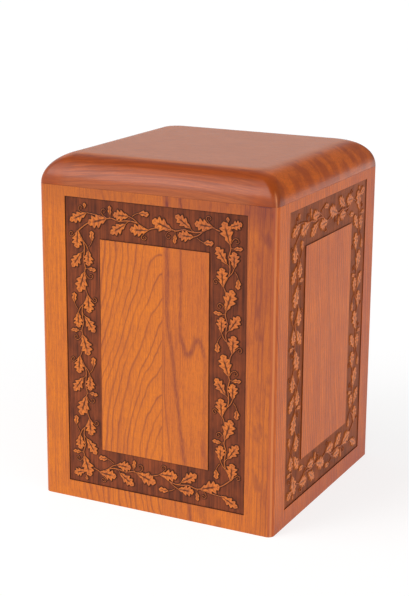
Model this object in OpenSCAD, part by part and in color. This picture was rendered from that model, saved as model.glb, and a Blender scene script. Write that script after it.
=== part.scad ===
// Cremation urn box in solid cherry.
// Four mitred side boards stand under one thick top board, which is glued down and rounded over
// together with them. Each side has a shallow engraved border. The inside is empty, and is reached
// from below through a panel that lies in a rebate and is held by four screws.
// Millimetres, +Z up. The origin is the middle of the underside, and the front looks along -Y.

/* [Body] */
// Overall width, left to right
body_w = 165; // [132:1:220]
// Overall depth, front to back
body_d = 165; // [132:1:220]
// Overall height
body_h = 227; // [160:1:300]
// Thickness of the four side boards
wall_t = 12.7; // [10:0.1:16]
// Radius of the four upright edges
edge_r = 4; // [1.5:0.1:6]

/* [Top board] */
// Thickness of the top board
top_t = 19; // [15:0.5:24]
// Radius of the round-over that shapes all four sides of the top
round_r = 19; // [12:0.5:27]

/* [Engraved border] */
// Plain wood between the border and the upright edges
border_side = 19; // [15:0.1:26]
// Plain wood between the border and the joint below the top board
border_top = 6.3; // [4:0.1:12]
// Plain wood between the border and the underside
border_bottom = 11.5; // [6:0.1:20]
// Width of the border
border_w = 25.4; // [16:0.1:32]
// Depth of the border's ground below the face of the board
border_depth = 0.6; // [0.3:0.1:1.5]

/* [Bottom panel] */
// Thickness of the bottom panel
panel_t = 9.5; // [8:0.5:12]
// Width of the rebate that takes the panel, cut into the inner faces of the boards
rebate_w = 8; // [7:0.1:10]
// Gap between the panel's edge and the rebate, all round
panel_gap = 0.3; // [0.2:0.05:0.6]

/* [Screws] */
// Diameter of a screw's shank
screw_d = 3; // [2.5:0.1:3.6]
// Diameter of a screw's head
screw_head_d = 6; // [5:0.1:6.4]
// Height of a screw's countersunk head
screw_head_h = 1.6; // [1.2:0.1:2.5]
// Length of a screw, head included
screw_len = 22; // [16:1:28]
// Distance of the screws from the left and right sides of the box
screw_inset = 32; // [24:1:45]
// Gap between a screw and the wood around it
screw_gap = 0.05; // [0.02:0.01:0.15]
// Width of the cross slot's arms
slot_w = 0.8; // [0.6:0.1:1.2]
// Length of the cross slot's arms, tip to tip
slot_len = 3.4; // [2.5:0.1:4.2]
// Depth of the cross slot
slot_depth = 1.2; // [0.8:0.1:1.4]

/* [Hidden] */
$fn = 96;
eps = 1;                                       // how far a cutting shape reaches past the wood
joint_z = body_h - top_t;                      // underside of the top board
round_z = body_h - round_r;                    // height at which the round-over begins
inner_w = body_w - 2 * wall_t;                 // inside of the box, left to right
inner_d = body_d - 2 * wall_t;                 // inside of the box, front to back
rebate_h = panel_t;                            // the panel lies flush with the underside
screw_x = body_w / 2 - screw_inset;
screw_y = inner_d / 2 + rebate_w / 2;          // the middle of the ledge above the panel
top_colour = [0.74, 0.53, 0.42];
board_colour = [0.83, 0.46, 0.22];
panel_colour = [0.76, 0.50, 0.30];
screw_colour = [0.78, 0.62, 0.30];

// Outline of the shaped box seen along a level axis: square below, with quarter rounds above
module round_over_outline(width) {
    translate([-width / 2, 0]) square([width, round_z]);
    translate([-width / 2 + round_r, 0]) square([width - 2 * round_r, body_h]);
    for (side = [-1, 1])
        translate([side * (width / 2 - round_r), round_z]) circle(r = round_r);
}

// Outline of the box seen from above: a rectangle with rounded corners
module plan_outline() {
    square([body_w - 2 * edge_r, body_d], center = true);
    square([body_w, body_d - 2 * edge_r], center = true);
    for (x = [-1, 1], y = [-1, 1])
        translate([x * (body_w / 2 - edge_r), y * (body_d / 2 - edge_r)]) circle(r = edge_r);
}

// The outer shape that the glued-up box is worked to
module envelope() {
    intersection() {
        linear_extrude(height = body_h) plan_outline();
        rotate([90, 0, 0])
            linear_extrude(height = body_d + 2 * eps, center = true) round_over_outline(body_w);
        rotate([90, 0, 90])
            linear_extrude(height = body_w + 2 * eps, center = true) round_over_outline(body_d);
    }
}

// Rectangular frame that cuts the border's ground into a side that is run wide and reach from the middle
module border_cut(run, reach) {
    height = joint_z - border_top - border_bottom;
    width = run - 2 * border_side;
    translate([-width / 2, -reach - eps, border_bottom])
        difference() {
            cube([width, border_depth + eps, height]);
            translate([border_w, -eps, border_w])
                cube([width - 2 * border_w, border_depth + 3 * eps, height - 2 * border_w]);
        }
}

// Space for the bottom panel, cut into the lower inner edges of the boards
module rebate_cut() {
    translate([0, 0, (rebate_h - eps) / 2])
        cube([inner_w + 2 * rebate_w, inner_d + 2 * rebate_w, rebate_h + eps], center = true);
}

// One countersunk screw, head down, its head flush with the underside, or the hole for it
module screw_body(gap = 0) {
    cylinder(h = screw_len + gap, d = screw_d + 2 * gap);
    cylinder(h = screw_head_h + gap, d1 = screw_head_d + 2 * gap, d2 = screw_d + 2 * gap);
}

// The holes for all four screws
module screw_holes() {
    for (x = [-1, 1], y = [-1, 1])
        translate([x * screw_x, y * screw_y, 0]) screw_body(screw_gap);
}

// A side board with mitred ends, run wide and reach from the middle of the box, turned to its side
module side_board(run, reach, turn) {
    color(board_colour)
        difference() {
            intersection() {
                envelope();
                rotate([0, 0, turn])
                    linear_extrude(height = joint_z)
                        polygon([[-run / 2, -reach], [run / 2, -reach],
                                 [run / 2 - wall_t, -reach + wall_t], [-run / 2 + wall_t, -reach + wall_t]]);
            }
            rotate([0, 0, turn]) border_cut(run, reach);
            rebate_cut();
            screw_holes();
        }
}

module front_board() {
    side_board(body_w, body_d / 2, 0);
}

module right_board() {
    side_board(body_d, body_w / 2, 90);
}

module back_board() {
    side_board(body_w, body_d / 2, 180);
}

module left_board() {
    side_board(body_d, body_w / 2, 270);
}

module top_board() {
    color(top_colour)
        intersection() {
            envelope();
            translate([0, 0, joint_z + top_t / 2])
                cube([body_w + 2 * eps, body_d + 2 * eps, top_t], center = true);
        }
}

module bottom_panel() {
    width = inner_w + 2 * (rebate_w - panel_gap);
    depth = inner_d + 2 * (rebate_w - panel_gap);
    color(panel_colour)
        difference() {
            translate([0, 0, panel_t / 2]) cube([width, depth, panel_t], center = true);
            screw_holes();
        }
}

module screw(x, y) {
    color(screw_colour)
        translate([x * screw_x, y * screw_y, 0])
            difference() {
                screw_body();
                for (turn = [0, 90])
                    rotate([0, 0, turn])
                        translate([0, 0, (slot_depth - eps) / 2])
                            cube([slot_len, slot_w, slot_depth + eps], center = true);
            }
}

top_board();
front_board();
right_board();
back_board();
left_board();
bottom_panel();
screw(-1, -1);  // screw_front_left
screw(1, -1);  // screw_front_right
screw(-1, 1);  // screw_back_left
screw(1, 1);  // screw_back_right
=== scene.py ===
"""Looks of the cremation urn box: cherry boards, engraved oak-vine borders, satin lacquer."""
from math import ceil, cos, pi, radians, sin

import bpy
from mathutils import Matrix, Vector


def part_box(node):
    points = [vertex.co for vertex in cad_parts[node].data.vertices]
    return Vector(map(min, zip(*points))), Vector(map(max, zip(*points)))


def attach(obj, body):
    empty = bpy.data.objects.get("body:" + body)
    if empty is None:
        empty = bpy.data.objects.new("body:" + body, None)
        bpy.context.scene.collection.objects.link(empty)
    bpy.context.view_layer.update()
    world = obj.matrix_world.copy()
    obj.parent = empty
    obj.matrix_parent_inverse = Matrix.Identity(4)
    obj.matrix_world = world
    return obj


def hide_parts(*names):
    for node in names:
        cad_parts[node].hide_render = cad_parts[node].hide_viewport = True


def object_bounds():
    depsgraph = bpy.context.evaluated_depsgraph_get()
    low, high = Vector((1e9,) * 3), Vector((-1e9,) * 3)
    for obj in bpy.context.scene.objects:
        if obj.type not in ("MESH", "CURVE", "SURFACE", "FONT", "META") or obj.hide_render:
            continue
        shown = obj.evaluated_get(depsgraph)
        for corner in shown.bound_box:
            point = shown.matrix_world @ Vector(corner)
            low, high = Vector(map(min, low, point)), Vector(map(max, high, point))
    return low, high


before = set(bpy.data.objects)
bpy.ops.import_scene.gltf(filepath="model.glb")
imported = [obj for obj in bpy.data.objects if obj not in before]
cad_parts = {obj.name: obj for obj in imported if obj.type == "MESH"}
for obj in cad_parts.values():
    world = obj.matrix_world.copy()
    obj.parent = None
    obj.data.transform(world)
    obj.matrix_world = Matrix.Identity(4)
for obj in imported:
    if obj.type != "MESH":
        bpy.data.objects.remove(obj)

CAD_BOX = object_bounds()
LOW, HIGH = Vector(CAD_BOX[0]), Vector(CAD_BOX[1])
MM = 0.001
WIDTH = (HIGH.x - LOW.x) / MM
HEIGHT = (HIGH.z - LOW.z) / MM
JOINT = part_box("top_board")[0][2] / MM          # height of the joint under the top board
FACE = WIDTH / 2                                # from the middle of the box to each face

# ---------------------------------------------------------------- sizes, in millimetres

ROUND = 19.0            # radius of the round-over on the top
ROUND_STEPS = 36        # its facets
EDGE = 4.0              # radius of the upright edges
RIDGE = 0.35            # how fast the round-over's corner ridge is softened, per mm of inset
BORDER_WIDTH = 25.4
SEAM = 6.1              # where the two boards of the front panel meet, right of its middle

# ---------------------------------------------------------------- the engraved border, from the CAD


def border_rectangle():
    """Half width, bottom, top and depth of the border's ground, found on the front board."""
    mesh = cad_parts["front_board"].data
    ground = [p for p in mesh.polygons if p.normal.y < -0.9999 and 0.2 < p.center.y / MM + FACE < 3]
    corners = [mesh.vertices[i].co / MM for p in ground for i in p.vertices]
    return (max(c.x for c in corners), min(c.z for c in corners),
            max(c.z for c in corners), corners[0].y + FACE)


HALF, BOTTOM, TOP, DEPTH = border_rectangle()
COLUMN = HALF - BORDER_WIDTH / 2                # middle of the right column of the border
ROW = TOP - BORDER_WIDTH / 2                    # middle of the top row
MIDDLE = (BOTTOM + TOP) / 2                     # height of the border's middle


# ---------------------------------------------------------------- mesh helpers

class Shell:
    """Points and faces of one piece. Each point carries a vector that its material reads."""

    def __init__(self):
        self.points = []
        self.faces = []
        self.marks = []

    def add(self, point, mark=(0, 0, 0)):
        self.points.append(point)
        self.marks.append(mark)
        return len(self.points) - 1

    def strip(self, rows):
        """Faces between neighbouring rows of point numbers, all of one length."""
        for low, high in zip(rows, rows[1:]):
            for i in range(len(low) - 1):
                self.faces.append((low[i], low[i + 1], high[i + 1], high[i]))

    def build(self, name, place=lambda p: p):
        mesh = bpy.data.meshes.new(name)
        mesh.from_pydata([Vector(place(p)) * MM for p in self.points], [], self.faces)
        layer = mesh.attributes.new("vine", "FLOAT_VECTOR", "POINT")
        layer.data.foreach_set("vector", [v for mark in self.marks for v in mark])
        mesh.update()
        piece = bpy.data.objects.new(name, mesh)
        bpy.context.scene.collection.objects.link(piece)
        return piece


def smooth_path(points, step):
    """Points about step apart on a Catmull-Rom curve through the given ones."""
    pts = [Vector(p) for p in points]
    pts = [2 * pts[0] - pts[1]] + pts + [2 * pts[-1] - pts[-2]]
    path = []
    for a, b, c, d in zip(pts, pts[1:], pts[2:], pts[3:]):
        count = max(2, ceil((c - b).length / step))
        for i in range(count):
            t = i / count
            path.append(0.5 * (2 * b + (c - a) * t + (2 * a - 5 * b + 4 * c - d) * t * t
                               + (3 * b - a - 3 * c + d) * t * t * t))
    return path + [pts[-2]]


# ---------------------------------------------------------------- leaves, stems and tendrils

GROUND = 0.02 - DEPTH   # a hair above the border's ground, so that no two faces lie in one plane
SKIRT_FOOT = GROUND + 0.02
SKIRT = 0.16            # how far a leaf's skirt runs out on its way down
STEM_SKIRT = SKIRT * 0.7
APRON = 0.85            # how far out from the edge the dark halo of burn and painted shade reaches
# across a leaf's half: (0 midrib .. 1 edge, height against the face of the board)
LEAF_SECTION = ((0, -0.16), (0.10, -0.03), (0.45, 0.0), (0.80, -0.03), (1, -0.10))
LOBE_DEPTH = 0.50       # how deep the notches between lobes cut, as a part of the leaf's half width
LOBE_LEAN = 0.45        # how much the lobes lean towards the tip
LEAN_SHORTENS = 0.30    # how much shorter the midrib is for that, so that the edge ends near the tip
LOBE_SHIFT = 0.10       # how far the lobes are shifted on each half, one half up and the other down
LEAF_END = 0.04         # the leaf's least half width, as a part of its greatest
STEPS_PER_LOBE = 10
STEPS_BESIDES = 8
STEM_TOP = -0.12        # height of a stem's top
STEM_BEVEL = 0.10       # how much lower its edges are
STEM_KIND = 0.6         # the third mark of a stem, where a leaf has 1 to 2
PATH_STEP = 0.5
MAIN_STEM = 0.74        # widths of the vine's stems
MAIN_STEM_END = 0.55
SIDE_STEM = 0.42
SIDE_STEM_END = 0.36
CURL_END = 0.30


def leaf(shell, place, base, tip, width, lobes):
    """A lobed oak leaf. Marks: (lobe phase, 0 midrib .. 1 edge .. 2 foot .. 3 end of the burnt and shaded
    halo, 1 at the leaf's base .. 2 at its tip)."""
    base, tip = place(base), place(tip)
    length = (tip - base).length
    along = (tip - base) / length
    across = Vector((along.y, -along.x))
    steps = STEPS_PER_LOBE * lobes + STEPS_BESIDES
    rows_of = {-1: [], 1: []}
    for side in (-1, 1):
        for i in range(steps + 1):
            t = i / steps
            # slim near the base and widest just before the middle, with notches that fade at both ends
            body = sin(pi * t ** 0.80) ** 0.80 * (0.40 + 0.60 * min(1, t / 0.45) ** 0.8)
            phase = t * lobes + LOBE_SHIFT * side
            lobe = 0.5 - 0.5 * cos(2 * pi * phase)
            notch = 1 - LOBE_DEPTH * (1 - lobe ** 0.8) * sin(pi * min(1, t * 1.05)) ** 0.4
            reach = width / 2 * max(body * notch, LEAF_END)
            row = []
            for s, height in LEAF_SECTION:
                forward = t * length * (1 - LOBE_LEAN * LEAN_SHORTENS) + LOBE_LEAN * s * reach
                spot = base + along * forward + across * (side * s * reach)
                row.append(((spot.x, spot.y, height), (phase, s, 1 + t)))
            rows_of[side].append(row)
    for side, rows in rows_of.items():
        edge = [Vector(row[-1][0][:2]) for row in rows]
        middle = [Vector(row[0][0][:2]) for row in rows]
        numbers = []
        for i, row in enumerate(rows):
            before, after = edge[max(i - 1, 0)], edge[min(i + 1, len(edge) - 1)]
            run = (after - before).normalized() if (after - before).length > 1e-6 else along
            out = Vector((run.y, -run.x)) * side
            if (edge[i] - middle[i]).dot(out) < 0:
                out = -out
            foot = edge[i] + out * SKIRT
            far = edge[i] + out * APRON
            line = [shell.add(p, m) for p, m in row]
            phase, kind = row[-1][1][0], row[-1][1][2]
            line.append(shell.add((foot.x, foot.y, SKIRT_FOOT), (phase, 2, kind)))
            line.append(shell.add((far.x, far.y, GROUND), (phase, 3, kind)))
            numbers.append(line if side > 0 else line[::-1])
        shell.strip(numbers)


def stem(shell, place, points, width, end_width=None):
    """A rounded stem along a curve, tapering from width to end_width."""
    path = smooth_path([place(point) for point in points], PATH_STEP)
    end_width = end_width or width
    rows = []
    for i, spot in enumerate(path):
        t = i / (len(path) - 1)
        half = (width + (end_width - width) * t) / 2
        ahead = path[min(i + 1, len(path) - 1)] - path[max(i - 1, 0)]
        out = Vector((ahead.y, -ahead.x)).normalized()
        row = []
        for offset, height, s in ((-half - APRON, GROUND, 3), (-half - STEM_SKIRT, SKIRT_FOOT, 2),
                                  (-half, STEM_TOP - STEM_BEVEL, 1), (-half * 0.4, STEM_TOP, 0.5),
                                  (half * 0.4, STEM_TOP, 0.5), (half, STEM_TOP - STEM_BEVEL, 1),
                                  (half + STEM_SKIRT, SKIRT_FOOT, 2), (half + APRON, GROUND, 3)):
            p = spot + out * offset
            row.append(shell.add((p.x, p.y, height), (0, s, STEM_KIND)))
        rows.append(row)
    shell.strip(rows)


# One stretch of the vine, in millimetres: (right of the growth, along the growth).
# A big leaf, a small leaf and a curl stand at its start, and a cluster follows.
# A leaf is (base, tip, width, lobes).
BIG_LEAF = ((1.1, 0.0), (-3.9, 15.6), 10.2, 4)
SMALL_LEAF = ((3.4, -2.4), (10.5, -1.8), 3.5, 2)
CLUSTER_LEAVES = (((3.4, 14.8), (4.3, 28.2), 9.2, 4),
                  ((-4.1, 27.0), (-3.9, 38.6), 8.4, 4),
                  ((1.0, 29.0), (9.1, 40.5), 8.0, 4),
                  ((-6.9, 20.8), (-6.6, 13.4), 4.8, 2))
STRETCH = 41.3          # length of a stretch on the columns
FIRST_STEM = ((1.1, 0.0), (1.6, 5.0), (1.4, 10.4))
SMALL_LEAF_STEM = ((1.4, -1.2), (2.2, -2.2), (3.6, -2.4))
CLUSTER_MAIN_STEMS = (((1.4, 10.4), (2.2, 13.0), (3.4, 15.2)),
                      ((3.2, 14.8), (1.6, 18.4), (-0.3, 21.4), (-2.6, 24.0), (-4.1, 27.2)))
CLUSTER_SIDE_STEMS = (((-4.4, 24.9), (-5.9, 22.9), (-6.8, 20.8)),
                      ((-1.1, 26.2), (-0.4, 28.0), (1.2, 29.4)))
NEXT_STEM = ((-0.3, 21.4), (-1.2, 25.5), (-0.9, 30.0), (-0.3, 33.6), (-1.6, 38.4), (-1.1, STRETCH))
CURL_ONE = ((1.6, 0.4), (2.7, 2.6), (4.6, 4.1), (6.4, 3.6), (7.0, 2.0), (5.8, 1.1), (4.8, 2.0), (5.5, 2.8))
CURL_TWO = ((4.4, 17.2), (6.0, 17.7), (7.6, 19.1), (9.3, 18.6), (9.5, 16.9), (8.2, 16.1), (7.3, 17.1),
            (8.1, 17.9))

# Where the stretches start, and the two corners, measured on the photo
COLUMN_START = -88.9                # the first stretch of a column, against the middle of the border
COLUMN_STRETCHES = 5
CORNER_STEM = ((1.4, 8.0), (0.4, 9.6), (-2.2, 10.2), (-5.2, 9.7))
CORNER_LEAF = ((0.6, 10.4), (10.2, 13.8), 6.8, 4)
CORNER_BUD = ((-0.3, 13.2), (-0.6, 17.2), 2.3, 1)
ROW_STARTS = (5.2, -38.2, -83.8)    # the stretches of a row, against the middle of the column
ROW_LENGTHS = (43.4, 45.6)          # the first two are drawn out to these lengths
LAST_STEM = ((1.1, 0.0), (2.6, 7.0), (3.4, 14.5))
LAST_STEM_END = 0.5
SECOND_CORNER_STEM = ((1.4, 4.0), (-1.2, 9.5), (-4.0, 15.2), (-8.0, 20.2), (-10.1, 21.9))
UPPER_LEAF = ((3.2, 14.6), (-3.6, 28.8), 7.9, 4)
UPPER_BUD = ((6.0, 16.0), (10.2, 16.1), 2.6, 1)
UPPER_CURL = ((2.9, 17.0), (4.4, 20.0), (6.4, 20.4), (7.4, 19.2), (6.5, 17.9), (5.5, 18.6))
LOWER_LEAF = ((2.8, 14.6), (9.6, 27.9), 7.2, 4)


def frame_of(origin, growth, side):
    """Maps (right, along) on a stretch to the face. growth is the direction in which the vine grows."""
    forward = Vector(growth)
    right = Vector((forward.y, -forward.x)) * side
    return lambda spot: Vector(origin) + right * spot[0] + forward * spot[1]


def big_leaf(shell, place):
    """The big leaf at the start of a stretch, with its small leaf and curl."""
    leaf(shell, place, *BIG_LEAF)
    leaf(shell, place, *SMALL_LEAF)
    stem(shell, place, SMALL_LEAF_STEM, SIDE_STEM, SIDE_STEM_END)
    stem(shell, place, CURL_ONE, SIDE_STEM, CURL_END)


def cluster(shell, place, length, first_stem=0):
    """The four leaves of a cluster on a stretch of the given length, and the stem to the next stretch.

    first_stem is 1 where no stem comes from below, which leaves the first of the main stems out.
    """
    def drawn_out(spot):
        return place((spot[0], spot[1] * length / STRETCH))

    for one in CLUSTER_LEAVES:
        leaf(shell, drawn_out, *one)
    for points in CLUSTER_MAIN_STEMS[first_stem:]:
        stem(shell, drawn_out, points, MAIN_STEM, MAIN_STEM_END)
    for points in CLUSTER_SIDE_STEMS:
        stem(shell, drawn_out, points, SIDE_STEM, SIDE_STEM_END)
    stem(shell, drawn_out, NEXT_STEM, MAIN_STEM)
    stem(shell, drawn_out, CURL_TWO, SIDE_STEM, CURL_END)


def half_vine(shell, turn):
    """Half of the vine, up the right column and along the top row, or turned about the face's middle."""
    def at(x, z):
        return (x, z) if turn > 0 else (-x, 2 * MIDDLE - z)

    up, left = (0, turn), (-turn, 0)
    column = [MIDDLE + COLUMN_START + STRETCH * i for i in range(COLUMN_STRETCHES)]
    side = 1
    for i, z in enumerate(column):
        place = frame_of(at(COLUMN, z), up, side)
        if i > 0:
            big_leaf(shell, place)
            stem(shell, place, FIRST_STEM, MAIN_STEM)
        if i < len(column) - 1:
            cluster(shell, place, STRETCH, first_stem=0 if i > 0 else 1)
        side = -side
    # round the corner, with one leaf and one bud that point into it
    place = frame_of(at(COLUMN, column[-1]), up, 1)
    stem(shell, place, CORNER_STEM, MAIN_STEM)
    leaf(shell, place, *CORNER_LEAF)
    leaf(shell, place, *CORNER_BUD)
    place = frame_of(at(COLUMN + ROW_STARTS[0], ROW), left, 1)
    cluster(shell, place, ROW_LENGTHS[0])
    place = frame_of(at(COLUMN + ROW_STARTS[1], ROW), left, -1)
    big_leaf(shell, place)
    stem(shell, place, FIRST_STEM, MAIN_STEM)
    cluster(shell, place, ROW_LENGTHS[1])
    place = frame_of(at(COLUMN + ROW_STARTS[2], ROW), left, 1)
    big_leaf(shell, place)
    stem(shell, place, LAST_STEM, MAIN_STEM, LAST_STEM_END)
    # round the second corner, which is not the same above on the left and below on the right
    stem(shell, place, SECOND_CORNER_STEM, MAIN_STEM)
    if turn > 0:
        leaf(shell, place, *UPPER_LEAF)
        leaf(shell, place, *UPPER_BUD)
        stem(shell, place, UPPER_CURL, SIDE_STEM, CURL_END)
    else:
        leaf(shell, place, *LOWER_LEAF)


# from (across, up, out of the face) to x, y and z
FACES = {
    "front": lambda p: (p[0], -FACE - p[2], p[1]),
    "right": lambda p: (FACE + p[2], p[0], p[1]),
    "back": lambda p: (-p[0], FACE + p[2], p[1]),
    "left": lambda p: (-FACE - p[2], -p[0], p[1]),
}


def make_vines():
    """The same vine on each of the four sides."""
    shell = Shell()
    half_vine(shell, 1)
    half_vine(shell, -1)
    pieces = {}
    for name, place in FACES.items():
        piece = shell.build("vine_" + name, place)
        piece.data.shade_smooth()
        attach(piece, "root")
        pieces[name] = piece
    return pieces


# ---------------------------------------------------------------- the top board

def rounded_square(half, radius, per_corner=10):
    """Points round a square with rounded corners, and the middle of each side."""
    points = []
    for quarter in range(4):
        turn = Matrix.Rotation(quarter * pi / 2, 2)
        points.append(turn @ Vector((half, 0)))
        for i in range(per_corner + 1):
            angle = i / per_corner * pi / 2
            corner = Vector((half - radius, half - radius))
            points.append(turn @ (corner + radius * Vector((cos(angle), sin(angle)))))
    return points


def make_top():
    """The top board with its round-over, whose corner ridges are softened, as by sanding."""
    shell = Shell()
    rings = []
    levels = [pi / 2 * i / ROUND_STEPS for i in range(ROUND_STEPS + 1)]
    profile = [(ROUND - ROUND * cos(a), HEIGHT - ROUND + ROUND * sin(a)) for a in levels]
    # (how far in from the face, height): the underside with a hair of bevel, the round-over, the flat
    underside = [(30.0, JOINT), (0.25, JOINT), (0.06, JOINT + 0.05), (0.0, JOINT + 0.25)]
    outline = underside + profile[1:] + [(ROUND + 6, HEIGHT), (ROUND + 20, HEIGHT)]
    for inset, z in outline:
        half = FACE - inset
        radius = min(EDGE + RIDGE * inset, half - 1)
        rings.append([shell.add((p.x, p.y, z)) for p in rounded_square(half, radius)])
    for low, high in zip(rings, rings[1:]):
        for i in range(len(low)):
            j = (i + 1) % len(low)
            shell.faces.append((low[i], low[j], high[j], high[i]))
    shell.faces.append(tuple(rings[-1]))
    shell.faces.append(tuple(rings[0][::-1]))
    piece = shell.build("top_board_shaped")
    piece.data.shade_smooth()
    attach(piece, "root")
    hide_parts("top_board")
    return piece


# ---------------------------------------------------------------- arithmetic in materials

def put(tree, slot, item):
    """Connects a Value to a node's input, or sets the input to a number, vector or colour."""
    if isinstance(item, Value):
        tree.links.new(item.socket, slot)
    elif isinstance(item, (tuple, list)) and slot.type == "RGBA":
        slot.default_value = (*item, 1) if len(item) == 3 else item
    else:
        slot.default_value = item


class Value:
    """A number or colour worked out in a material, which takes part in plain arithmetic."""

    def __init__(self, tree, socket):
        self.tree = tree
        self.socket = socket

    def math(self, operation, *items):
        node = self.tree.nodes.new("ShaderNodeMath")
        node.operation = operation
        for slot, item in zip(node.inputs, items):
            put(self.tree, slot, item)
        return Value(self.tree, node.outputs[0])

    def __add__(self, other):
        return self.math("ADD", self, other)

    def __sub__(self, other):
        return self.math("SUBTRACT", self, other)

    def __rsub__(self, other):
        return self.math("SUBTRACT", other, self)

    def __mul__(self, other):
        return self.math("MULTIPLY", self, other)

    def __truediv__(self, other):
        return self.math("DIVIDE", self, other)

    def __neg__(self):
        return self.math("MULTIPLY", self, -1.0)

    __radd__ = __add__
    __rmul__ = __mul__

    def power(self, n):
        return self.math("POWER", self, n)

    def root(self):
        return self.math("SQRT", self)

    def fract(self):
        return self.math("FRACT", self)

    def floor(self):
        return self.math("FLOOR", self)

    def abs(self):
        return self.math("ABSOLUTE", self)

    def exp(self):
        return self.math("EXPONENT", self)

    def max(self, other):
        return self.math("MAXIMUM", self, other)

    def min(self, other):
        return self.math("MINIMUM", self, other)

    def sine(self):
        return self.math("SINE", self)

    def above(self, limit):
        return self.math("GREATER_THAN", self, limit)

    def ramp(self, start, end):
        """0 at start, 1 at end, smooth between them."""
        node = self.tree.nodes.new("ShaderNodeMapRange")
        node.interpolation_type = "SMOOTHSTEP"
        for slot, item in zip(node.inputs, (self, min(start, end), max(start, end), 0.0, 1.0)):
            put(self.tree, slot, item)
        rising = Value(self.tree, node.outputs[0])
        return rising if end > start else 1.0 - rising


class Paint:
    """Builds one material."""

    def __init__(self, name):
        self.material = bpy.data.materials.new(name)
        self.material.use_nodes = True
        self.tree = self.material.node_tree
        self.tree.nodes.clear()

    def node(self, kind, *inputs, **settings):
        node = self.tree.nodes.new(kind)
        for key, value in settings.items():
            setattr(node, key, value)
        for name, item in inputs:
            put(self.tree, node.inputs[name], item)
        return node

    def place(self):
        """x, y and z in the row frame, in millimetres."""
        coordinates = self.node("ShaderNodeTexCoord").outputs["Object"]
        node = self.node("ShaderNodeSeparateXYZ", ("Vector", Value(self.tree, coordinates)))
        return [Value(self.tree, out) * (1 / MM) for out in node.outputs]

    def vector(self, x, y, z):
        node = self.node("ShaderNodeCombineXYZ", ("X", x), ("Y", y), ("Z", z))
        return Value(self.tree, node.outputs[0])

    def noise(self, x, y, z, detail=2.0, roughness=0.5):
        """Smooth noise between 0 and 1."""
        node = self.node("ShaderNodeTexNoise", ("Vector", self.vector(x, y, z)), ("Scale", 1.0),
                         ("Detail", detail), ("Roughness", roughness))
        return Value(self.tree, node.outputs[0])

    def mix(self, amount, first, second):
        node = self.node("ShaderNodeMix", data_type="RGBA")
        for slot, item in ((node.inputs[0], amount), (node.inputs[6], first), (node.inputs[7], second)):
            put(self.tree, slot, item)
        return Value(self.tree, node.outputs[2])

    def mark(self):
        """The three numbers of the vine's own mark, which are 0 on any other piece."""
        attribute = self.node("ShaderNodeAttribute", attribute_name="vine").outputs["Vector"]
        node = self.node("ShaderNodeSeparateXYZ", ("Vector", Value(self.tree, attribute)))
        return [Value(self.tree, out) for out in node.outputs]

    def finish(self, colour, roughness, height, **constants):
        """Ends the material in a Principled shader. height, in millimetres, becomes bump."""
        node = self.node("ShaderNodeBsdfPrincipled", ("Base Color", colour), ("Roughness", roughness))
        for name, value in constants.items():
            node.inputs[name.replace("_", " ")].default_value = value
        relief = self.node("ShaderNodeBump", ("Strength", BUMP), ("Distance", MM), ("Height", height))
        self.tree.links.new(relief.outputs[0], node.inputs["Normal"])
        out = self.node("ShaderNodeOutputMaterial")
        self.tree.links.new(node.outputs[0], out.inputs[0])
        return self.material


# ---------------------------------------------------------------- wood

# In these materials a factor inside noise() says how fast the noise changes per millimetre, so a small
# one draws it out along that axis. ramp() picks the part of it that shows, and a factor behind it says
# how much. Places are in millimetres, u across a side from its middle and z up from the floor.

# colours are red, green and blue, in linear light
# the light and the deep wood, the ring lines, then the border's ground: dark, light, and far up and right
# the far ground is painted shade in these tones, and a painted sheen in the right board's
FRONT_TONES = ((0.735, 0.200, 0.019), (0.515, 0.129, 0.029), (0.165, 0.038, 0.034),
               (0.050, 0.015, 0.010), (0.29, 0.064, 0.019), (0.060, 0.012, 0.006))
# the right board: the front's cherry retuned as painted light, for how the light falls on that side
SIDE_TONES = ((0.825, 0.183, 0.004), (0.51, 0.080, 0.004), (0.20, 0.034, 0.022),
              (0.10, 0.021, 0.006), (0.40, 0.086, 0.016), (0.46, 0.160, 0.092))
EDGE_SHADE = (0.44, 0.098, 0.045)       # painted shade where an upright edge turns away, with a little painted sheen
EDGE_HIGHLIGHT = (0.76, 0.26, 0.085)         # and a thin painted highlight along the edge
LEAF_PALE = (0.84, 0.225, 0.035)        # the brightest parts of the leaves
LEAF_DEEP = (0.42, 0.11, 0.035)
VEIN_BURN = (0.085, 0.022, 0.010)       # midribs and side veins
STEM_SHADE = (0.16, 0.045, 0.020)
OUTLINE_BURN_AND_SHADE = (0.040, 0.010, 0.005)    # burn and painted shade round the leaves and stems
RIM_BURN_AND_SHADE = (0.030, 0.008, 0.004)        # burn and painted shade along the edges of the border
# the top board's light and deep wood, on the front and back, on the ends, lightened there as painted light,
# and on the flat
TOP_FRONT = ((0.46, 0.090, 0.014), (0.28, 0.052, 0.010))
TOP_END = ((0.80, 0.160, 0.010), (0.50, 0.086, 0.010))
TOP_FLAT = ((0.64, 0.146, 0.018), (0.56, 0.120, 0.014))
TOP_FOOT = (0.38, 0.120, 0.046)         # a painted sheen above the joint, on the front and back
TOP_SHOULDER = (0.30, 0.040, 0.006)     # painted shade high on the round-over
TOP_END_SHADE = (0.34, 0.056, 0.008)
# painted shade near the corners of the top board
TOP_CORNER = (0.22, 0.034, 0.006)
TOP_LINE = (0.18, 0.034, 0.010)
TOP_PORE = (0.20, 0.04, 0.012)
PANEL_LIGHT, PANEL_DEEP = (0.58, 0.22, 0.075), (0.42, 0.14, 0.045)
PANEL_LINE, PANEL_PORE = (0.24, 0.07, 0.025), (0.22, 0.06, 0.02)
BRASS_BRIGHT, BRASS_DULL = (0.78, 0.55, 0.24), (0.50, 0.33, 0.14)

BUMP = 0.35                 # strength of the bump of every material
LACQUER = {"IOR": 1.23}     # thin satin film
POLISH = {"IOR": 1.36}      # the top board shines a little more


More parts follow.
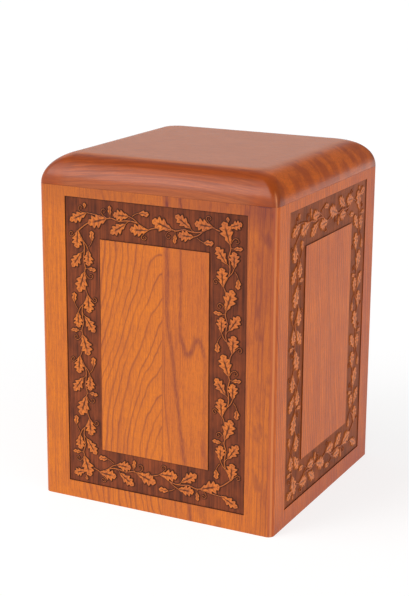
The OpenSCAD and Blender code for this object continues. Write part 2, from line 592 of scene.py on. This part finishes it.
def ring_lines(field, slope, width=0.55, soft=2.0):
    """Dark latewood lines where field passes whole numbers. slope is rings per millimetre, width and soft
    are the line's own width and how far it fades out on one side, in millimetres."""
    to_next = 1.0 - field.fract()
    nearest = (0.5 - (to_next - 0.5).abs()) / slope
    core = (-(nearest * nearest / (width * width))).exp()
    return core * 0.68 + (-(to_next / slope / soft)).exp() * 0.32


def vein(distance, width):
    """One soft dark line, distance millimetres away."""
    return (-(distance * distance / (width * width))).exp()


def fibres(paint, u, v, depth, seed):
    """Fine streaks along v, flecks, short pores, long threads and specks, all between 0 and 1."""
    streak = paint.noise(u * 0.9 + seed, v * 0.020, depth * 0.6, 3.0, 0.65)
    fleck = paint.noise(u * 1.5 + seed, v * 0.16, depth * 2.0, 2.0, 0.6).ramp(0.45, 0.72)
    pores = paint.noise(u * 4.5 - seed, v * 0.40, depth * 3.0, 1.0, 0.5).ramp(0.56, 0.74)
    thread = paint.noise(u * 2.3 + seed, v * 0.030, depth * 2.0, 2.0, 0.6).ramp(0.46, 0.70)
    speck = paint.noise(u * 1.9 - seed, v * 0.80, depth * 1.5, 3.0, 0.75).ramp(0.47, 0.66)
    return streak, fleck, pores, thread, speck


def border_masks(u, z, depth):
    """How far inside the border's ground a point lies, and whether it is cut at all."""
    outer = (HALF - u.abs()).min((z - BOTTOM).min(TOP - z))
    inner = (u.abs() - (HALF - BORDER_WIDTH)).max((z - MIDDLE).abs() - ((TOP - BOTTOM) / 2 - BORDER_WIDTH))
    inside = outer.min(inner)
    cut = depth.above(DEPTH * 0.25) * (2.0 - depth).above(0.0) * inside.above(-0.05)
    return inside, cut


def engraved(paint, u, z, depth, wood, ground_tones, scorch_and_shade, seed):
    """Lays the border's dark ground, its outlines of burn and painted shade, and the vine's own shading
    over wood.
    """
    # the marks tell the vine from the ground, and a leaf from a stem
    phase, across, kind = paint.mark()
    vine = kind.above(STEM_KIND / 2)
    on_leaf = kind.above(0.9)
    along = kind - 1.0
    inside, cut = border_masks(u, z, depth)
    ground_here = (cut * (1.0 - vine)).max(vine * across.ramp(2.2, 3.0))
    streak = paint.noise(u * 0.50 + seed, z * 0.012, 0.0, 3.0, 0.6).ramp(0.32, 0.68)
    lines = paint.noise(u * 1.3 + seed, z * 0.05, 3.0, 3.0, 0.7).ramp(0.32, 0.68)
    cloud = paint.noise(u * 0.07, z * 0.045, seed, 3.0, 0.6).ramp(0.35, 0.65)
    # the ground, streaked along the grain, and burnt and painted with shade at its edges
    dark_ground, light_ground, far_shade_and_sheen = ground_tones
    ground = paint.mix(streak * 0.40 + lines * 0.28 + cloud * 0.32, dark_ground, light_ground)
    # painted shade far up and right, and on the right board a painted sheen
    far = u.ramp(10.0, 80.0) + z.ramp(150.0, 205.0) * 0.9 * scorch_and_shade
    ground = paint.mix(far * 0.22, ground, far_shade_and_sheen)
    rim = (1.0 - inside.ramp(0.0, 1.0)) * 0.75 * scorch_and_shade
    ground = paint.mix(rim, ground, RIM_BURN_AND_SHADE)
    # the vine: dark outlines of burn and painted shade, midribs and side veins, and leaves of two tones,
    # with painted shade that dulls them high up and far right
    outline_burn_and_shade = vine * across.ramp(0.80, 1.05)
    rib = on_leaf * (1.0 - across.ramp(0.05, 0.28)) * (1.0 - along.ramp(0.60, 0.85)) * scorch_and_shade
    side_vein = 1.0 - (phase.fract() - 0.5).abs().ramp(0.02, 0.12)
    side_vein = side_vein * on_leaf * (1.0 - across.ramp(0.35, 0.75)) * 0.60
    leaf_tone = paint.noise(u * 0.42, z * 0.42, seed + 9.0, 2.0, 0.5).ramp(0.35, 0.65)
    colour = paint.mix(vine * 0.55 * scorch_and_shade * leaf_tone, wood, LEAF_DEEP)
    shaded = 1.0 - (z.ramp(165.0, 195.0) + u.ramp(40.0, 75.0)) * 0.30
    pale = on_leaf * (1.0 - leaf_tone * 0.6) * (1.15 - scorch_and_shade) * 1.5 * shaded
    colour = paint.mix(pale, colour, LEAF_PALE)
    colour = paint.mix(rib.max(side_vein), colour, VEIN_BURN)
    colour = paint.mix((vine - on_leaf) * 0.22, colour, STEM_SHADE)
    colour = paint.mix(outline_burn_and_shade * scorch_and_shade, colour, OUTLINE_BURN_AND_SHADE)
    colour = paint.mix(ground_here, colour, ground)
    return colour, ground_here.max(outline_burn_and_shade), lines


def board_material(name, u, face_depth, rings, tones, scorch_and_shade, seed):
    """Cherry board. u and face_depth pick the board's own axes, and rings gives its growth rings.

    scorch is how darkly the border is burnt and painted with shade, and seed gives the board fibres of its
    own.
    """
    paint = Paint(name)
    x, y, z = paint.place()
    across, depth = u(x, y), face_depth(x, y)
    dark, tone = rings(paint, across, z, depth)
    streak, fleck, pores, thread, speck = fibres(paint, across, z, depth, seed)
    mottle = paint.noise(across * 0.040 + seed, z * 0.035, depth * 0.03, 3.0, 0.55).ramp(0.30, 0.70)
    light, deep, line, *ground_tones = tones
    wood = paint.mix(streak.ramp(0.28, 0.72) * 0.45 + mottle * 0.30 + tone * 0.25, light, deep)
    wood = paint.mix(dark * 0.70, wood, line)
    wood = paint.mix(fleck * 0.26, wood, line)
    wood = paint.mix(thread * 0.27 + speck * 0.13, wood, line)
    wood = paint.mix(pores * 0.36, wood, line)
    # the rounded upright edges, with painted shade as they turn away and a thin painted highlight along
    # them
    on_edge = (across.abs() - (FACE - EDGE)).above(-0.3)
    wood = paint.mix(on_edge * depth.ramp(0.02, 0.30) * 0.5, wood, EDGE_SHADE)
    edge_highlight = on_edge * depth.ramp(0.55, 0.85)
    wood = paint.mix(edge_highlight * (0.35 + (200.0 - z).ramp(0.0, 40.0) * 0.2), wood, EDGE_HIGHLIGHT)
    colour, rough_here, lines = engraved(paint, across, z, depth, wood, ground_tones, scorch_and_shade, seed)
    roughness = 0.27 + 0.06 * streak + 0.25 * rough_here
    height = pores * -0.06 - dark * 0.015 + fleck * 0.010 + lines * rough_here * 0.12
    return paint.finish(colour, roughness, height, **LACQUER)


def front_rings(paint, u, z, depth):
    """Two boards edge to edge: arcs cut off at the seam, and long veins, one of which swirls."""
    rise = z - MIDDLE
    warp = paint.noise(u * 0.030, z * 0.017, depth * 0.02, 2.0, 0.5) - 0.5
    kink = paint.noise(u * 0.11 + 7.0, z * 0.065, depth * 0.05, 2.0, 0.5) - 0.5
    # the left board: hyperbolas about an upright axis right of the seam, as in a tapering trunk
    axis, below_pith, taper, ring, lean = 14.0, 21.0, 0.285, 3.9, 1.7e-5
    off = u + rise * rise * rise * lean - axis
    radius = (off * off + below_pith * below_pith).root()
    arc_field = (radius + z * taper + warp * 10.0 + kink * 2.4) / ring
    arc_field = arc_field + paint.noise(arc_field * 0.55, 2.0, 5.0, 1.0, 0.5) * 1.6
    arc_slope = ((off / radius).power(2.0) + taper * taper).root() / ring
    depth_of_ring = paint.noise((arc_field + 0.5).floor() * 5.3, z * 0.02, 1.0, 1.0, 0.5).ramp(0.30, 0.60)
    calm = (1.0 - (-u).ramp(44.0, 64.0) * 0.80) * (1.0 - z.ramp(190.0, 203.0) * 0.6)
    arcs = ring_lines(arc_field, arc_slope) * (0.55 + 0.45 * depth_of_ring) * calm
    # the right board: a long vein, one that swirls half way down, a thin one, and faint upright rings
    sway = (paint.noise(3.0, z * 0.035, depth * 0.02, 2.0, 0.5) - 0.5) * 5.0 + kink * 1.6
    long_vein, bend, long_lean = 9.3, 137.0, 0.123
    first = vein(u - long_vein - (bend - z).max(0.0) * long_lean + sway * 0.5, 1.6)
    speckle = paint.noise(u * 1.3, z * 0.22, 6.0, 2.0, 0.6).ramp(0.30, 0.60) * 0.55 + 0.45
    swirl_at, swirl_length, swirl_height, swing = 27.4, 13.4, 115.3, 5.0
    turning = (u - swirl_at) * (2 * pi / swirl_length)
    steepness = ((turning + pi / 2).sine().power(2.0) * 5.5 + 1.0).root()
    ripple = (z - swirl_height - turning.sine() * swing) / steepness
    upper = vein(u - 18.8 + sway * 0.4, 1.2) * z.ramp(115.0, 119.0) * 0.85
    swirl = vein(ripple, 2.0) * u.ramp(17.8, 19.6) * (37.0 - u).ramp(0.0, 2.0)
    lower = vein(u - 35.6 + sway, 1.8) * (114.0 - z).ramp(0.0, 4.0) * 0.6
    thin_vein, thin_bend, thin_lean = 7.4, 80.0, 0.11
    third = vein(u - thin_vein - (thin_bend - z).max(0.0) * thin_lean + sway * 0.2, 0.55)
    third = third * (130.0 - z).ramp(0.0, 20.0)
    spacing = 3.1
    upright_field = (u + sway * 0.4 + (MIDDLE - z) * 0.03 + warp * 3.0) / spacing
    upright_tone = paint.noise(upright_field.floor() * 3.1, z * 0.012, 8.0, 1.0, 0.5).ramp(0.35, 0.65)
    upright = ring_lines(upright_field, 1 / spacing, 0.5, 1.8) * upright_tone
    upright = upright * (0.30 + 0.60 * u.ramp(50.0, 66.0))
    smudge = paint.noise(u * 0.12, z * 0.05, 5.0, 2.0, 0.5).ramp(0.52, 0.72)
    smudge = smudge * u.ramp(24.0, 34.0) * 0.65
    # both boards, the seam between them, and fine lines in the margins
    veins = (first * 0.95).max(upper).max(swirl).max(lower) * speckle
    veins = veins.max(third * 0.6).max(upright).max(smudge)
    left = 1.0 - u.ramp(SEAM - 0.15, SEAM + 0.15)
    seam = (1.0 - (u - SEAM).abs().ramp(0.05, 0.45)) * (125.0 - z).ramp(0.0, 15.0)
    fine = paint.noise(u * 0.95, z * 0.010, 3.0, 2.0, 0.6).ramp(0.48, 0.66)
    fine = fine * u.abs().ramp(50.0, 66.0) * 0.35
    dark = (arcs * left + veins * (1.0 - left)).max(seam * 0.75).max(fine)
    # a short dark dash of glue under the top board, and painted shade that darkens the wood to the right
    # and under the joint
    glue_line = (z - JOINT).ramp(-0.7, -0.4) * (u - 70.0).ramp(0.0, 1.0) * (79.0 - u).ramp(0.0, 1.0)
    margin = u.ramp(60.0, 74.0) * (0.10 + 0.90 * z.ramp(10.0, 200.0))
    under_joint = z.ramp(188.0, 205.0)
    shade = margin * 0.46 + under_joint * 0.42
    return (dark + shade + glue_line).min(1.35), (1.0 - left) * (1.0 + z.ramp(60.0, 180.0)) * 0.9


def straight_rings(offset, drift, spacing, strength):
    """Nearly upright rings of a quarter-sawn board that drift sideways, with one darker vein."""
    vein_at, vein_width = 6.3, 0.9

    def rings(paint, u, z, depth):
        warp = paint.noise(u * 0.03 + offset, z * 0.012, depth * 0.02, 3.0, 0.5) - 0.5
        straight = u - (MIDDLE - z) * drift + warp * 10.0
        field = (straight + offset) / spacing
        ring_tone = paint.noise(field.floor() * 3.7, offset, z * 0.01, 1.0, 0.5).ramp(0.40, 0.65)
        fine = ring_lines(field, 1 / spacing, 0.45, 1.6) * (0.3 + 0.7 * ring_tone) * strength
        # painted shade low by the floor and towards the top; the wood also deepens towards one end of the
        # side and pales towards the other
        foot = (1.0 - z.ramp(0.0, 24.0)) * 1.8 + z.ramp(110.0, 190.0) * 0.4
        far = u.ramp(20.0, 80.0) - (1.0 - u.ramp(-80.0, 0.0)) * 0.4
        return fine.max(vein(straight - vein_at, vein_width) * 0.55), ring_tone * 0.4 + foot + far
    return rings


def top_material():
    """The top board: grain along X, arcs on the front and back, curly end grain left and right."""
    paint = Paint("cherry_top")
    x, y, z = paint.place()
    warp = paint.noise(x * 0.012, y * 0.04, z * 0.05, 3.0, 0.5) - 0.5
    spacing, crown = 3.1, 8.0
    bowed = z + (x - crown) * (x - crown) * 0.0011
    rings = (bowed - y * y * 0.0012 + warp * 7.0) / spacing
    dark = ring_lines(rings, 1 / spacing, 0.5, 1.2)
    streak = paint.noise(x * 0.018, y * 0.5, bowed + warp * 4.0, 3.0, 0.6).ramp(0.28, 0.72)
    fleck = paint.noise(x * 0.14, y * 1.6, z * 1.6, 2.0, 0.6).ramp(0.45, 0.72)
    pores = paint.noise(x * 0.4, y * 4.5, z * 4.5, 1.0, 0.5).ramp(0.56, 0.74)
    # where on the board: its flat, its left and right ends with their curl, and just above the joint
    flat = z.ramp(HEIGHT - 1.0, HEIGHT - 0.15)
    side = x.abs().ramp(FACE - ROUND - 2, FACE - ROUND + 8)
    curl = paint.noise(x * 0.05, y * 0.075, z * 0.05, 2.0, 0.5).ramp(0.38, 0.62)
    low = 1.0 - z.ramp(JOINT, JOINT + 9.0)
    # its wood there, with a painted sheen above the joint, painted shade high on the round-over and low on
    # the ends among their streaks, and the ends lightened as painted light
    curved = paint.mix(streak, *TOP_FRONT)
    curved = paint.mix(low * 0.45, curved, TOP_FOOT)
    curved = paint.mix(z.ramp(JOINT + 13, JOINT + 17) * 0.4, curved, TOP_SHOULDER)
    ends = paint.mix(curl, *TOP_END)
    ends = paint.mix(streak * 0.25 + low * 0.35, ends, TOP_END_SHADE)
    level = paint.mix(streak, *TOP_FLAT)
    wood = paint.mix(side * 0.9, curved, ends)
    # painted shade near the corners, and a thin painted highlight along the corner ridge
    near_corner = x.abs().ramp(FACE - 26, FACE - 8) * y.abs().ramp(FACE - 16, FACE - 4)
    wood = paint.mix(near_corner * 0.75, wood, TOP_CORNER)
    edge_highlight = (1.0 - (x.abs() - y.abs()).abs().ramp(0.2, 1.1)) * (HEIGHT - 9.0 - z).ramp(0.0, 5.0)
    wood = paint.mix(edge_highlight * 0.6, wood, EDGE_HIGHLIGHT)
    wood = paint.mix(flat, wood, level)
    wood = paint.mix(dark * (1.0 - flat * 0.80) * (1.0 - side * 0.7) * 0.34, wood, TOP_LINE)
    wood = paint.mix(fleck * 0.30 + pores * 0.24, wood, TOP_PORE)
    roughness = 0.22 + 0.05 * streak
    return paint.finish(wood, roughness, pores * -0.03 - fleck * 0.01, **POLISH)


def panel_material():
    """The bottom panel: plainer cherry with its grain along X."""
    paint = Paint("cherry_panel")
    x, y, z = paint.place()
    warp = paint.noise(x * 0.015, y * 0.05, z * 0.05, 3.0, 0.5) - 0.5
    spacing = 7.5
    field = (y + (x + 30.0) * (x + 30.0) * 0.0009 + warp * 14.0) / spacing
    dark = ring_lines(field, 1 / spacing, 0.5, 2.2)
    streak = paint.noise(x * 0.02, y * 1.1, z, 3.0, 0.6)
    pores = paint.noise(x * 0.5, y * 6.0, z * 6.0, 1.0, 0.5).ramp(0.60, 0.76)
    wood = paint.mix(streak, PANEL_LIGHT, PANEL_DEEP)
    wood = paint.mix(dark * 0.5, wood, PANEL_LINE)
    wood = paint.mix(pores * 0.3, wood, PANEL_PORE)
    return paint.finish(wood, 0.38 + 0.06 * streak, pores * -0.05, **LACQUER)


def brass_material():
    """Plain screws, a little dulled."""
    paint = Paint("screw_brass")
    x, y, z = paint.place()
    dull = paint.noise(x * 0.8, y * 0.8, z * 0.8, 3.0, 0.6)
    colour = paint.mix(dull, BRASS_BRIGHT, BRASS_DULL)
    return paint.finish(colour, 0.28 + 0.25 * dull, dull * 0.02, Metallic=1.0)


# across a side and into its board, from x and y
FACE_AXES = {
    "front": (lambda x, y: x, lambda x, y: y + FACE),
    "right": (lambda x, y: y, lambda x, y: FACE - x),
    "back": (lambda x, y: -x, lambda x, y: FACE - y),
    "left": (lambda x, y: -y, lambda x, y: x + FACE),
}
# growth rings, tones, how darkly the border is burnt and shaded, and seed
BOARD_LOOKS = {
    "front": (front_rings, FRONT_TONES, 0.95, 1.0),
    "right": (straight_rings(5.0, 0.14, 3.4, 0.95), SIDE_TONES, 0.60, 23.0),
    "back": (straight_rings(41.0, -0.10, 6.0, 0.8), FRONT_TONES, 0.95, 47.0),
    "left": (straight_rings(77.0, 0.08, 4.0, 0.8), FRONT_TONES, 0.90, 71.0),
}


def coat(node_name, material):
    """Gives a CAD node a material, and leaves its mesh alone."""
    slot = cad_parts[node_name].material_slots[0]
    slot.link = "OBJECT"
    slot.material = material


def dress():
    """Builds the added pieces and gives every piece its material."""
    vines = make_vines()
    top = make_top()
    top.data.materials.append(top_material())
    for name, (rings, tones, scorch_and_shade, seed) in BOARD_LOOKS.items():
        u, depth = FACE_AXES[name]
        material = board_material("cherry_" + name, u, depth, rings, tones, scorch_and_shade, seed)
        vines[name].data.materials.append(material)
        coat(name + "_board", material)
    coat("bottom_panel", panel_material())
    brass = brass_material()
    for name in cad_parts:
        if name.startswith("screw"):
            coat(name, brass)


# ---------------------------------------------------------------- stage, light and camera

FLOOR_REACH = 40.0          # metres, so far that its edge lies at the horizon
FLOOR_GREY = (0.30, 0.30, 0.30)
FLOOR_GLOW = 0.78           # lifts the grey floor to near white
WALL_LIGHT = 0.64           # light from the walls of the room
BEHIND_LESS = 0.24          # how much darker the walls behind the box are
CORNER_LIGHT = 0.55         # and what the walls in front on the left add
EVEN_LIGHT = 0.18           # from all sides, the ceiling as well
# each soft light: its name, the direction that it comes from, its strength and its spread in degrees
STUDIO_LIGHTS = (("key", (-0.44, -0.68, 0.58), 0.80, 30),
                 ("key_upper", (-0.43, -0.33, 0.84), 0.40, 30),
                 ("fill", (0.75, -0.50, 0.35), 0.45, 60))


def make_floor():
    """A plain floor, nearly white."""
    mesh = bpy.data.meshes.new("floor")
    reach = FLOOR_REACH
    mesh.from_pydata([(-reach, -reach, 0), (reach, -reach, 0), (reach, reach, 0), (-reach, reach, 0)], [],
                     [(0, 1, 2, 3)])
    floor = bpy.data.objects.new("floor", mesh)
    bpy.context.scene.collection.objects.link(floor)
    paint = Paint("floor_white")
    floor.data.materials.append(paint.finish(FLOOR_GREY, 0.9, 0.0, Specular_IOR_Level=0.0,
                                             Emission_Color=(1, 1, 1, 1), Emission_Strength=FLOOR_GLOW))


def make_world():
    """A pale room. Its walls are bright up to about 45 degrees, most of all in front on the left.

    Behind the box they are darker, and very dark to the right of the middle, for the top's reflection.
    """
    world = bpy.data.worlds.new("studio")
    bpy.context.scene.world = world
    world.use_nodes = True
    tree = world.node_tree
    tree.nodes.clear()
    direction = tree.nodes.new("ShaderNodeTexCoord").outputs["Generated"]
    split = tree.nodes.new("ShaderNodeSeparateXYZ")
    tree.links.new(direction, split.inputs[0])
    x, y, height = (Value(tree, part) for part in split.outputs)
    behind = y.ramp(0.1, 0.6)
    walls = (1.0 - height.ramp(0.64, 0.77)) * (WALL_LIGHT - behind * BEHIND_LESS)
    dim_corner = x.ramp(-0.26, -0.06) * behind
    bright_corner = (-x).ramp(-0.1, 0.3) * (-y).ramp(0.0, 0.4) * (1.0 - height.ramp(0.72, 0.90))
    bright_corner = bright_corner * CORNER_LIGHT
    background = tree.nodes.new("ShaderNodeBackground")
    background.inputs[0].default_value = (1.0, 1.0, 1.0, 1)
    put(tree, background.inputs[1], walls * (1.0 - dim_corner * 0.95) + bright_corner + EVEN_LIGHT)
    out = tree.nodes.new("ShaderNodeOutputWorld")
    tree.links.new(background.outputs[0], out.inputs[0])


def softbox(name, direction, strength, spread):
    """A far, wide, soft light that shines from a direction and spans spread degrees."""
    light = bpy.data.lights.new(name, "SUN")
    light.energy = strength
    light.angle = radians(spread)
    lamp = bpy.data.objects.new(name, light)
    bpy.context.scene.collection.objects.link(lamp)
    towards = Vector(direction).normalized()
    lamp.location = towards
    lamp.rotation_euler = towards.to_track_quat("Z", "Y").to_euler()


def make_camera():
    """The photo's view, fitted to the edges of the box. Its distance and aim are in widths of the box."""
    azimuth, elevation, roll = radians(26.79), radians(15.14), radians(0.36)
    distance = 5.967 * WIDTH * MM
    aim = Vector((-0.0399, 0.0011, 0.745)) * WIDTH * MM
    back = Vector((sin(azimuth) * cos(elevation), -cos(azimuth) * cos(elevation), sin(elevation)))
    data = bpy.data.cameras.new("camera")
    data.lens = 88.57
    data.sensor_width = 36.0
    data.clip_end = 200.0
    camera = bpy.data.objects.new("camera", data)
    bpy.context.scene.collection.objects.link(camera)
    turn = back.to_track_quat("Z", "Y").to_matrix() @ Matrix.Rotation(roll, 3, "Z")
    camera.matrix_world = Matrix.Translation(aim + back * distance) @ turn.to_4x4()
    bpy.context.scene.camera = camera


dress()
make_floor()
make_world()
for light_values in STUDIO_LIGHTS:
    softbox(*light_values)
make_camera()
bpy.context.scene.view_settings.view_transform = "Standard"
